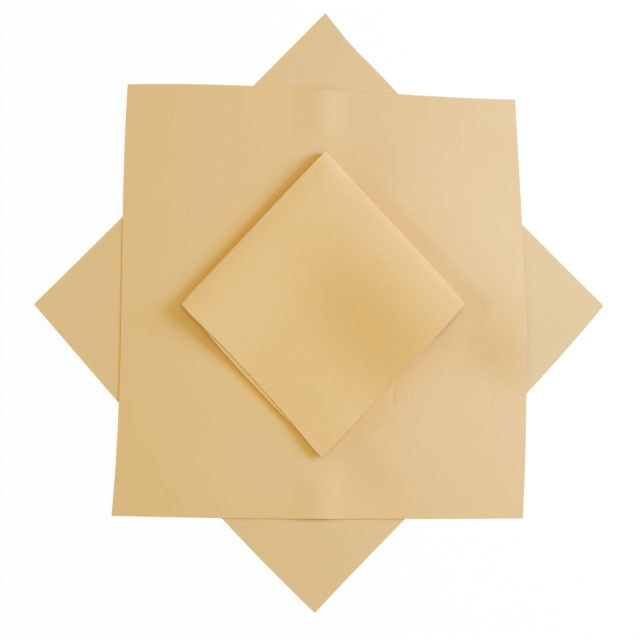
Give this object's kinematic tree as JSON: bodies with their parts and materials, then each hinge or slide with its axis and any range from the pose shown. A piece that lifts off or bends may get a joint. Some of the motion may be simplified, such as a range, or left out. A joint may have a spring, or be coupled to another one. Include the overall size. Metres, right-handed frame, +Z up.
{
  "type": "microfiber chamois cloth set",
  "caption": "Square tan microfiber chamois cloths for wiping and drying, laid in a star: spread sheets turned across each other, with a cloth folded in quarters on top.",
  "frame": {"origin": "on the surface that the set lies on, under the centre of the bottom cloth", "axes": "+Z up from the surface, +Y along the longer diagonal of the bottom cloth towards the far side of the picture, +X to the right of the picture"},
  "size_m": [0.547, 0.5848, 0.0114],
  "materials": {
    "chamois": "matt suede-like nap with raw cut edges"
  },
  "bodies": {
    "bottom_cloth": {"bottom_cloth": "chamois"},
    "middle_cloth": {"middle_cloth": "chamois"},
    "folded_cloth_lower": {"folded_cloth_lower_half": "chamois"},
    "folded_cloth_upper": {"folded_cloth_upper_half": "chamois"}
  },
  "joints": [
    {"name": "middle_cloth_lift", "type": "slide", "parent": "bottom_cloth", "child": "middle_cloth", "axis": [0, 0, 1], "range_m": [0, 0.12]},
    {"name": "folded_cloth_lift", "type": "slide", "parent": "middle_cloth", "child": "folded_cloth_lower", "axis": [0, 0, 1], "range_m": [0, 0.12]},
    {"name": "half_fold_open", "type": "hinge", "parent": "folded_cloth_lower", "child": "folded_cloth_upper", "pos_m": [0.07092, 0.07299, 0.0066], "axis": [-0.6818, 0.7315, 0], "range_deg": [0, 179.5]}
  ]
}
